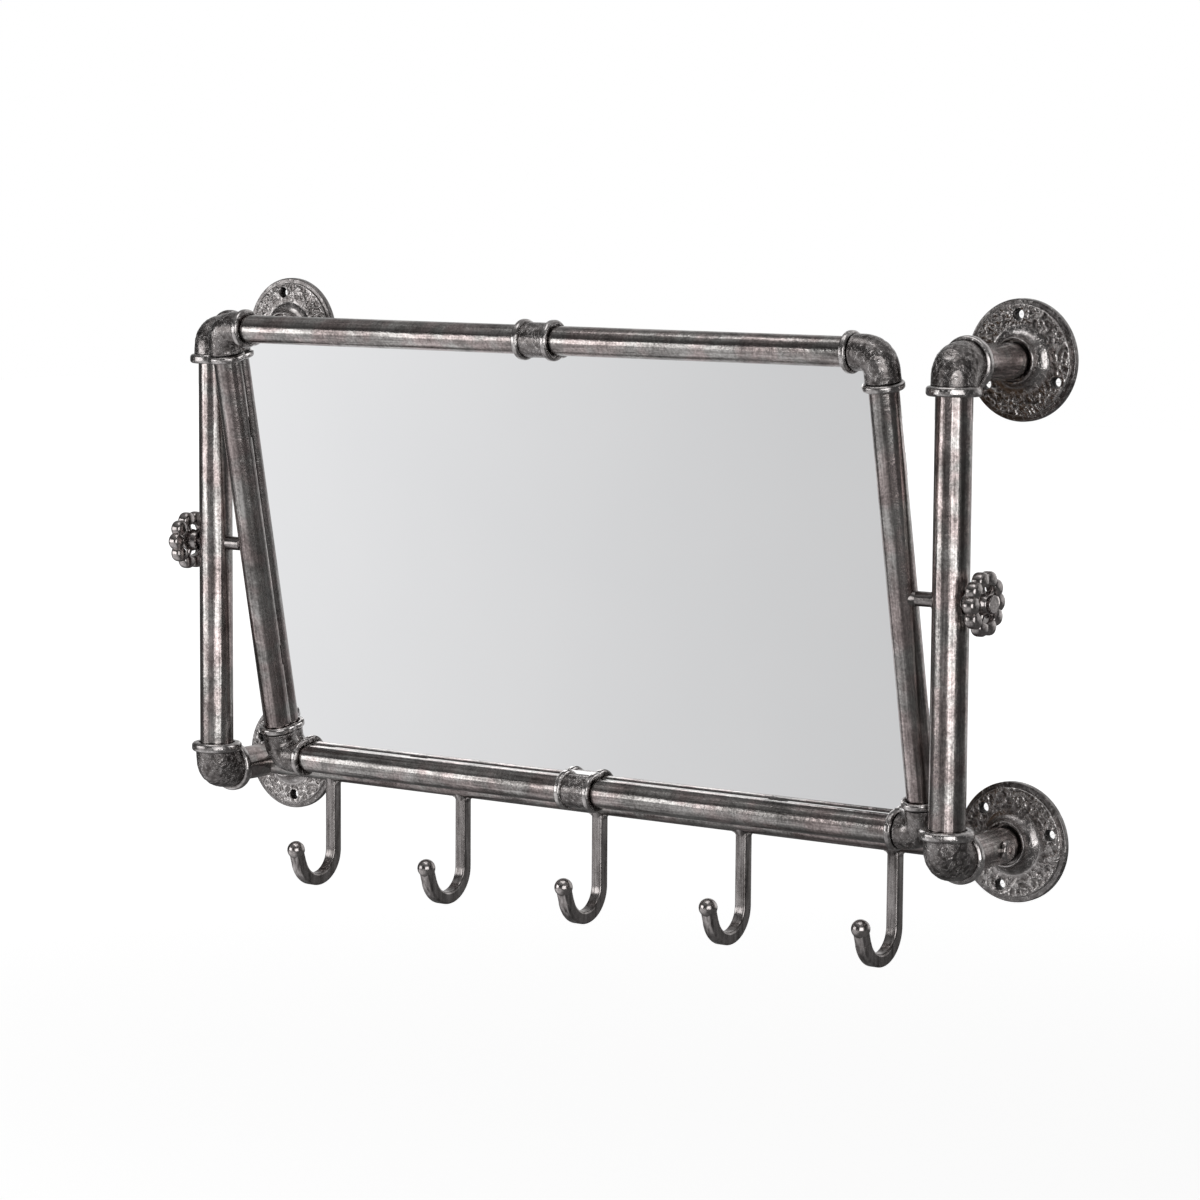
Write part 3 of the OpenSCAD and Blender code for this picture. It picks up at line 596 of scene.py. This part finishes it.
def flange_ridge(point):
    """1 on what is rubbed bright: the ridges, the rims of the holes and the face's edge."""
    r = math.hypot(point.x, point.y)
    if r > face_end + 0.0002 or r < LIP_R + BELL_WORN or point.z < FACE_T - 0.0006:
        return 0.0
    on_rim = COUNTERSINK_R - 0.0001 < from_hole(point) < COUNTERSINK_R + 0.0007
    if r > face_end - 0.0006 or on_rim:
        return 0.9
    return (point.z - FACE_T - 0.0001) / 0.0003


keep_share(casting, "shade", flange_shade)
keep_share(casting, "ridge", flange_ridge)
smooth_faces(casting, 38.0)

flange_iron = bpy.data.materials.new("flange_cast_iron")
tree = empty_tree(flange_iron)
coords = local_place(tree)
axes = put(tree, "SeparateXYZ", Vector=coords).outputs
across = calc(tree, "SUBTRACT", calc(tree, "ABSOLUTE", axes["X"]), UPRIGHT_X)
up = calc(tree, "SUBTRACT", calc(tree, "ABSOLUTE", axes["Z"]), STANDOFF_Z)
radius = distance_from(tree, across, up)
bell = calc(tree, "MULTIPLY", soft_step(tree, radius, LIP_R + 0.011, LIP_R + 0.005), 0.6)
band = soft_step(tree, radius, face_end - 0.0004, face_end + 0.0002)
polish = calc(tree, "MAXIMUM", bell, calc(tree, "MULTIPLY", band, 0.5))
cast_surface(tree, coords, polish, read_share(tree, "ridge"))

for corner in CORNERS:
    level, side = corner.split("_")
    spot = Vector((UPRIGHT_X * SIDE_SIGNS[side], 0.0, STANDOFF_Z * LEVEL_SIGNS[level]))
    turn = Matrix.Rotation(math.radians(HOLES_TURN[corner]), 4, "Z")
    place = Matrix.Translation(spot) @ Matrix.Rotation(math.pi / 2, 4, "X") @ turn
    set_in_place(
        casting, f"flange_casting_{corner}", place, flange_iron,
        f"flange_{corner}", "frame",
    )
bpy.data.objects.remove(casting)


# The frame elbows: round-cornered cast iron, each with a stand-off and an upright pushed
# into its two sockets. The corner is rough as cast and the beads round the mouths are
# worn bright.

WALL_REACH = 0.095
FRAME_BODY = 0.0163
FRAME_BEND = 0.01685
FRAME_FACE = 0.02125
FRAME_STEPS = 208
FRAME_BEAD_R = 0.0195
FRAME_BEAD_W = 0.007
BEAD_ROUND_SHARE = 0.34
PIPE_STOP = 0.0137
MOUTH_R = 0.0143
FRAME_BORE = 0.011
MOUTH_DEPTH = 0.0013
CORNER_SWELL = 0.003
OVERLAP = 0.001


def bead_outline(radius, width, face):
    """The (radius, place)s of a bead from the face of a mouth inwards."""
    edge = width * BEAD_ROUND_SHARE
    front = [(r, face - p) for p, r in arc((edge, radius - edge), edge, 180.0, 90.0, 7)]
    back = [(r, face - p) for p, r in arc((width - edge, radius - edge), edge, 90.0, 0.0, 7)]
    return front + back


def elbow_body(name, steps, bend_steps, bend_r, mouth, bore):
    """A hollow elbow with its corner at the origin and its mouths along +X and +Y. The
    outline of one mouth is drawn in along X, spun round the bend and drawn out along Y,
    and the bore comes back the same way."""
    piece = start_ring(name, steps, mouth[0][0], 0, mouth[0][1])
    about = {"center": (bend_r, bend_r, 0.0), "axis": (0.0, 0.0, 1.0)}
    draw_out(0, mouth)
    bpy.ops.mesh.spin(steps=bend_steps, angle=math.pi / 2, **about)
    draw_out(1, mouth[::-1] + bore)
    bpy.ops.mesh.spin(steps=bend_steps // 2, angle=-math.pi / 2, **about)
    draw_out(0, bore[::-1] + mouth[:1])
    close_up()
    return piece


def round_the_corner(piece, bend_r, body_r, swell, ridge_height, reach):
    """Swells the outside of a bend to a fuller corner and raises cast ridges on it."""
    rough = piece.vertex_groups.new(name="rough")
    for vertex in piece.data.vertices:
        point = vertex.co
        away = Vector((point.x - bend_r, point.y - bend_r, 0.0))
        out = away.length - bend_r
        if point.x > bend_r or point.y > bend_r or math.hypot(out, point.z) < body_r - 0.0002:
            continue
        bend_share = math.sin(2.0 * math.atan2(-away.y, -away.x)) ** 2
        outside = clamped(0.5 + 0.6 * out / body_r)
        outside = outside * outside * (3.0 - 2.0 * outside)
        vertex.co += away.normalized() * (swell * bend_share * outside)
        rough.add([vertex.index], clamped(bend_share * reach - 0.25) * outside, "REPLACE")
    for texture, share, middle in ((ridges, 0.5, 0.6), (creases, -0.9, 0.3)):
        finish_modifier(
            piece, "DISPLACE", texture=texture, texture_coords="LOCAL", direction="NORMAL",
            strength=ridge_height * share, mid_level=middle, vertex_group="rough",
        )


def to_axes(x_way, y_way, z_way, spot):
    """The matrix that turns a casting's own axes to these ways and moves it to a spot."""
    turn = Matrix((x_way, y_way, z_way)).transposed().to_4x4()
    return Matrix.Translation(spot) @ turn


mouth_end = FRAME_FACE - 0.0003
mouth = [(FRAME_BODY, mouth_end), (FRAME_BODY, FRAME_BEND)]
bore = [(FRAME_BORE, mouth_end), (FRAME_BORE, FRAME_BEND)]
casting = elbow_body(
    "frame_elbow_casting", steps=FRAME_STEPS, bend_steps=88, bend_r=FRAME_BEND,
    mouth=mouth, bore=bore,
)
round_the_corner(
    casting, FRAME_BEND, FRAME_BODY, swell=CORNER_SWELL, ridge_height=RIDGE_RISE, reach=1.6,
)
# The beads are cast on the body, and each mouth is drilled from outside up to its stop.
past_face = FRAME_FACE + 0.002
ring = [(FRAME_BORE + OVERLAP, FRAME_FACE)]
ring += bead_outline(FRAME_BEAD_R, FRAME_BEAD_W, FRAME_FACE)
ring += [(FRAME_BORE + OVERLAP, FRAME_FACE - FRAME_BEAD_W)]
socket = [
    (CENTRE_R, PIPE_STOP), (BORE_R, PIPE_STOP), (BORE_R, FRAME_FACE - MOUTH_DEPTH),
    (MOUTH_R, FRAME_FACE - MOUTH_DEPTH), (MOUTH_R, past_face), (CENTRE_R, past_face),
]
for axis in (0, 1):
    bead = turned("bead", FRAME_STEPS, ring, axis=0)
    drill = turned("drill", FRAME_STEPS, socket, axis=0)
    for tool in (bead, drill):
        tool.data.transform(Matrix.Rotation(axis * math.pi / 2, 4, "Z"))
    cut(casting, "UNION", bead)
    cut(casting, "DIFFERENCE", drill)


def behind_bead(point):
    """Painted shade: near 1 in the angle between the body and the back of a bead."""
    depth = FRAME_FACE - FRAME_BEAD_W - max(point.x, point.y)
    off_axis = math.hypot(min(point.x, point.y), point.z)
    if off_axis >= FRAME_BODY + 0.0006:
        return 0.0
    return 0.9 * (1.0 - abs(depth) / 0.0008)


keep_share(casting, "shade", behind_bead)
smooth_faces(casting, 40.0)

elbow_iron = bpy.data.materials.new("frame_elbow_cast_iron")
tree = empty_tree(elbow_iron)
coords = local_place(tree)
axes = put(tree, "SeparateXYZ", Vector=coords).outputs
across = calc(tree, "SUBTRACT", calc(tree, "ABSOLUTE", axes["X"]), UPRIGHT_X)
level = calc(tree, "ABSOLUTE", axes["Z"])
up = calc(tree, "SUBTRACT", level, STANDOFF_Z)
out = calc(tree, "ADD", axes["Y"], WALL_REACH)
# Only the beads stand out past the body, round the upright and round the stand-off.
bead_start = FRAME_FACE - FRAME_BEAD_W - 0.0002
round_upright = distance_from(tree, across, out)
round_standoff = distance_from(tree, across, up)
on_upright = calc(
    tree, "MULTIPLY",
    soft_step(tree, round_upright, FRAME_BODY + 0.0008, FRAME_BODY + 0.0018),
    calc(tree, "LESS_THAN", level, STANDOFF_Z - bead_start),
)
on_standoff = calc(
    tree, "MULTIPLY",
    soft_step(tree, round_standoff, FRAME_BODY + 0.0008, FRAME_BODY + 0.0018),
    calc(tree, "GREATER_THAN", out, bead_start),
)
cast_surface(tree, coords, calc(tree, "MAXIMUM", on_upright, on_standoff))

# Each casting is turned so that its mouths face the wall and the middle of the frame.
for corner in CORNERS:
    level, side = corner.split("_")
    up = LEVEL_SIGNS[level]
    spot = Vector((UPRIGHT_X * SIDE_SIGNS[side], -WALL_REACH, STANDOFF_Z * up))
    place = to_axes((0.0, 1.0, 0.0), (0.0, 0.0, -up), (1.0, 0.0, 0.0), spot)
    set_in_place(
        casting, f"frame_elbow_casting_{corner}", place, elbow_iron,
        f"frame_elbow_{corner}", "frame",
    )
bpy.data.objects.remove(casting)


# The mirror elbows: the same castings in the slim size, at the four corners of the
# leaning mirror, with a groove and a raised lip behind each bead. The rails and the side
# pipes are pushed into them.

MIRROR_X = 0.294
MIRROR_Z = 0.17237
MIRROR_BODY = 0.0127
MIRROR_BEND = 0.0134
MIRROR_FACE = 0.0255
MIRROR_BEAD_R = 0.0149
MIRROR_BEAD_W = 0.0052
MIRROR_SWELL = 0.0006
SLIM_RIDGE_RISE = 0.0004
SLIM_BORE_R = 0.0108
SLIM_MOUTH_R = 0.01195
SLIM_STOP = 0.0165
SLIM_WAY_R = 0.00865
GROOVE_W = 0.0008
GROOVE_DEPTH = 0.0004
BODY_RINGS = 5

bead_back = MIRROR_FACE - MIRROR_BEAD_W
groove_back = bead_back - GROOVE_W
lip_end = groove_back - 0.0022
ring_gap = (lip_end - MIRROR_BEND) / BODY_RINGS
mouth = [(SLIM_MOUTH_R + 0.0004, MIRROR_FACE)]
mouth += bead_outline(MIRROR_BEAD_R, MIRROR_BEAD_W, MIRROR_FACE)
mouth += [(MIRROR_BODY - GROOVE_DEPTH, bead_back), (MIRROR_BODY - GROOVE_DEPTH, groove_back)]
mouth += [(MIRROR_BODY + 0.0001, groove_back - 0.0003)]
mouth += [(MIRROR_BODY + 0.0002, groove_back - 0.0008), (MIRROR_BODY, lip_end)]
mouth += [(MIRROR_BODY, MIRROR_BEND + ring_gap * i) for i in reversed(range(BODY_RINGS))]
bore = [
    (SLIM_MOUTH_R, MIRROR_FACE), (SLIM_MOUTH_R, MIRROR_FACE - MOUTH_DEPTH),
    (SLIM_BORE_R, MIRROR_FACE - MOUTH_DEPTH), (SLIM_BORE_R, SLIM_STOP),
    (SLIM_WAY_R, SLIM_STOP), (SLIM_WAY_R, MIRROR_BEND),
]
casting = elbow_body(
    "mirror_elbow_casting", steps=176, bend_steps=64, bend_r=MIRROR_BEND,
    mouth=mouth, bore=bore,
)
round_the_corner(
    casting, MIRROR_BEND, MIRROR_BODY, swell=MIRROR_SWELL, ridge_height=SLIM_RIDGE_RISE,
    reach=1.4,
)


def in_groove(point):
    """Painted shade: 1 down in the groove behind a bead."""
    depth = bead_back - max(point.x, point.y)
    off_axis = math.hypot(point.z, min(point.x, point.y))
    level_with = -0.00005 < depth < GROOVE_W + 0.00005
    down_in = SLIM_BORE_R + 0.0005 < off_axis < MIRROR_BODY - 0.0002
    return 1.0 if level_with and down_in else 0.0


keep_share(casting, "shade", in_groove)
smooth_faces(casting, 40.0)

fitting_iron = bpy.data.materials.new("mirror_fitting_cast_iron")
tree = empty_tree(fitting_iron)
coords = local_place(tree, leaning=True)
axes = put(tree, "SeparateXYZ", Vector=coords).outputs
side = calc(tree, "ABSOLUTE", axes["X"])
level = calc(tree, "ABSOLUTE", axes["Z"])
across = calc(tree, "SUBTRACT", side, MIRROR_X)
up = calc(tree, "SUBTRACT", level, MIRROR_Z)
round_rail = distance_from(tree, axes["Y"], up)
round_side = distance_from(tree, axes["Y"], across)
on_rail = calc(
    tree, "MULTIPLY",
    soft_step(tree, round_rail, MIRROR_BODY + 0.0005, MIRROR_BODY + 0.0012),
    calc(tree, "LESS_THAN", side, MIRROR_X - SLIM_STOP),
)
on_side = calc(
    tree, "MULTIPLY",
    soft_step(tree, round_side, MIRROR_BODY + 0.0005, MIRROR_BODY + 0.0012),
    calc(tree, "LESS_THAN", level, MIRROR_Z - SLIM_STOP),
)
cast_surface(tree, coords, calc(tree, "MAXIMUM", on_rail, on_side))

# Each casting is turned so that its mouths face the middle of the mirror.
lean = Matrix.Translation(PIVOT) @ Matrix.Rotation(TILT, 4, "X")
for corner in CORNERS:
    level, side = corner.split("_")
    across, up = SIDE_SIGNS[side], LEVEL_SIGNS[level]
    spot = Vector((MIRROR_X * across, 0.0, MIRROR_Z * up))
    upright = to_axes((-across, 0.0, 0.0), (0.0, 0.0, -up), (0.0, 1.0, 0.0), spot)
    set_in_place(
        casting, f"mirror_elbow_casting_{corner}", lean @ upright, fitting_iron,
        f"mirror_elbow_{corner}", "mirror",
    )
bpy.data.objects.remove(casting)


# The couplings: short cast sleeves with a bead at each end, pushed over the two halves
# of the top and bottom rails where they meet.

dress(["coupling_top", "coupling_bottom"], fitting_iron)


# The handwheels: cast iron, with ten lobes round the rim and five spokes to the hub,
# worn smooth by the hand and set on the outer ends of the pivot rods. The caps on the
# ends of the rods are of the same iron.

RUBBED = (0.50, 0.462, 0.452)


def turned_finish(name, bright):
    """Dark iron or steel, polished."""
    paint = bpy.data.materials.new(name)
    tree = empty_tree(paint)
    coords = local_place(tree)
    fine = noise(tree, coords, 900.0)
    cloud = noise(tree, coords, 160.0, detail=3.0)
    wear = weighed(tree, (fine, 0.5), (cloud, 0.5))
    dark = [part * bright * 0.5 for part in RUBBED]
    pale = [part * bright * 1.15 for part in RUBBED]
    colour = ramp(tree, wear, (0.36, dark), (0.6, pale))
    roughness = calc(tree, "MULTIPLY_ADD", wear, -0.22, 0.28)
    metal(tree, colour, roughness, fine, relief=0.00008)
    return paint


LOBES = 10
SPOKES = 5
FIRST_SPOKE = 54.0
RIM_R = 0.0163
RIM_HALF_W = 0.0033
RIM_HALF_T = 0.0052
RIM_CORNERS = 3.2
RIM_POINTS = 32
RIM_AT = 0.0103
LOBE_RISE = 0.0033
LOBE_FULLNESS = 0.75
INNER_RISE = 0.0005
VALLEY_SHARE = 0.76
HUB_LENGTH = 0.0158
SPINDLE_BORE = 0.00406
SPOKE_OUTLINE = [
    (CENTRE_R, 0.0055), (0.003, 0.0055), (0.0024, 0.0085), (0.0022, 0.0105),
    (0.0024, 0.0125), (0.0031, 0.0152), (CENTRE_R, 0.016),
]
HUB_OUTLINE = [
    (SPINDLE_BORE, 0.0), (0.0061, 0.0), (0.0065, 0.0004), (0.0084, 0.0082),
    (0.0087, 0.0092), (0.0087, 0.0114), (0.0084, 0.0124), (0.0071, 0.0144),
    *arc((0.006, 0.0148), 0.001, 20.0, 90.0, 6), (SPINDLE_BORE, HUB_LENGTH),
]

section = []
for step in range(RIM_POINTS):
    turn = 2.0 * math.pi * step / RIM_POINTS
    c, s = math.cos(turn), math.sin(turn)
    across = math.copysign(abs(c) ** (2.0 / RIM_CORNERS), c)
    along = math.copysign(abs(s) ** (2.0 / RIM_CORNERS), s)
    section.append((RIM_R + RIM_HALF_W * across, RIM_AT + RIM_HALF_T * along))
casting = turned("handwheel_casting", 360, section)
# The plain ring swells into the lobes, which meet in creases.
for vertex in casting.data.vertices:
    r = math.hypot(vertex.co.x, vertex.co.y)
    turn = math.atan2(vertex.co.y, vertex.co.x) - math.radians(FIRST_SPOKE)
    lobe = abs(math.cos(LOBES / 2 * turn)) ** LOBE_FULLNESS
    off_middle = (r - RIM_R) / RIM_HALF_W
    swollen = r + lobe * off_middle * (LOBE_RISE if off_middle > 0.0 else INNER_RISE)
    vertex.co.x *= swollen / r
    vertex.co.y *= swollen / r
    vertex.co.z = RIM_AT + (vertex.co.z - RIM_AT) * (VALLEY_SHARE + (1.0 - VALLEY_SHARE) * lobe)
for step in range(SPOKES):
    spoke = turned("spoke", 32, SPOKE_OUTLINE, axis=0)
    turn = Matrix.Rotation(math.radians(FIRST_SPOKE + 360.0 / SPOKES * step), 4, "Z")
    spoke.data.transform(Matrix.Translation((0.0, 0.0, RIM_AT)) @ turn)
    cut(casting, "UNION", spoke)
cut(casting, "UNION", turned("hub", 96, HUB_OUTLINE))
smooth_faces(casting, 42.0)

wheel_iron = turned_finish("wheel_cast_iron", 0.9)
hub_start = min(abs(corner[0]) for corner in solids["handwheel_right"].bound_box)
for side, sign in SIDE_SIGNS.items():
    spot = Vector((hub_start * sign, PIVOT.y, PIVOT.z))
    place = to_axes((0.0, 0.0, -1.0), (0.0, 1.0, 0.0), (sign, 0.0, 0.0), spot)
    set_in_place(
        casting, f"handwheel_casting_{side}", place, wheel_iron,
        f"handwheel_{side}", f"{side}_handwheel",
    )
bpy.data.objects.remove(casting)
dress(["end_cap_left", "end_cap_right"], wheel_iron)


# The small steel pieces: the polished hook balls, plugs, screws and clips, and the darker
# pivot rods, washers and bushes. All are round and turned, but the clips are flat strip.

polished = turned_finish("polished_steel", 1.0)
dress(["hook_balls", "rail_plugs", "rail_screws", "clip_screws", "retaining_clips"], polished)
dress(
    [f"{piece}_{side}" for piece in ("pivot_rod", "washer", "pivot_bush") for side in SIDES],
    turned_finish("turned_steel", 0.7),
)


# The hooks: square steel bar with rounded edges, in the same gunmetal as the pipes. Each
# is bent forward and up, and welded under the hook rail.

HOOK_COUNT = 5
RUBBED_HOOK = (0.58, 0.545, 0.535)

hook_paint = bpy.data.materials.new("hook_gunmetal")
tree = empty_tree(hook_paint)
coords = local_place(tree)
drawn = stretched(tree, coords, (420.0, 300.0, 30.0))
streak = noise(tree, drawn, 1.0, roughness=0.55, distortion=0.4)
spots = noise(tree, coords, 380.0, roughness=0.7)
cloud = noise(tree, coords, 60.0)
wear = weighed(tree, (streak, 0.75), (spots, 0.25), (cloud, 0.3), (1.0, -0.15))
colour = ramp(tree, wear, (0.34, PATINA), (0.52, GUNMETAL), (0.68, RUBBED_HOOK))
roughness = calc(tree, "MULTIPLY_ADD", soft_step(tree, wear, 0.36, 0.62), -0.1, 0.28)
height = weighed(tree, (streak, 1.0), (spots, 0.3))
metal(tree, colour, roughness, height, relief=0.00012)
dress([f"hook_{number}" for number in range(1, HOOK_COUNT + 1)], hook_paint)


# The mirror: a sheet of silvered float glass, with a brown hardboard of the same outline
# behind it. Both lie behind the mirror's pipes, where the clips hold them.

SILVER_DIM = (0.925, 0.93, 0.935)
SILVER_BRIGHT = (0.945, 0.948, 0.95)
BOARD_DARK = (0.11, 0.068, 0.04)
BOARD_PALE = (0.23, 0.15, 0.092)

silvered = bpy.data.materials.new("silvered_glass")
tree = empty_tree(silvered)
coords = local_place(tree, leaning=True)
haze = noise(tree, coords, 6.0, detail=3.0, roughness=0.5)
colour = ramp(tree, haze, (0.3, SILVER_DIM), (0.7, SILVER_BRIGHT))
roughness = calc(tree, "MULTIPLY", soft_step(tree, haze, 0.35, 0.8), 0.012)
shader = put(tree, "BsdfPrincipled", Base_Color=colour, Metallic=1.0, Roughness=roughness)
put(tree, "OutputMaterial", Surface=shader.outputs[0])
dress(["mirror_glass"], silvered)

board_paint = bpy.data.materials.new("hardboard")
tree = empty_tree(board_paint)
coords = local_place(tree, leaning=True)
drawn = stretched(tree, coords, (900.0, 900.0, 260.0))
fibre = noise(tree, drawn, 1.0, detail=5.0, roughness=0.7)
mottle = noise(tree, coords, 18.0)
tone = weighed(tree, (fibre, 0.6), (mottle, 0.4))
colour = ramp(tree, tone, (0.35, BOARD_DARK), (0.65, BOARD_PALE))
bump = put(tree, "Bump", Strength=1.0, Distance=0.0002, Height=fibre)
shader = put(
    tree, "BsdfPrincipled", Base_Color=colour, Roughness=0.72, Normal=bump.outputs[0],
)
put(tree, "OutputMaterial", Surface=shader.outputs[0])
dress(["backing_board"], board_paint)
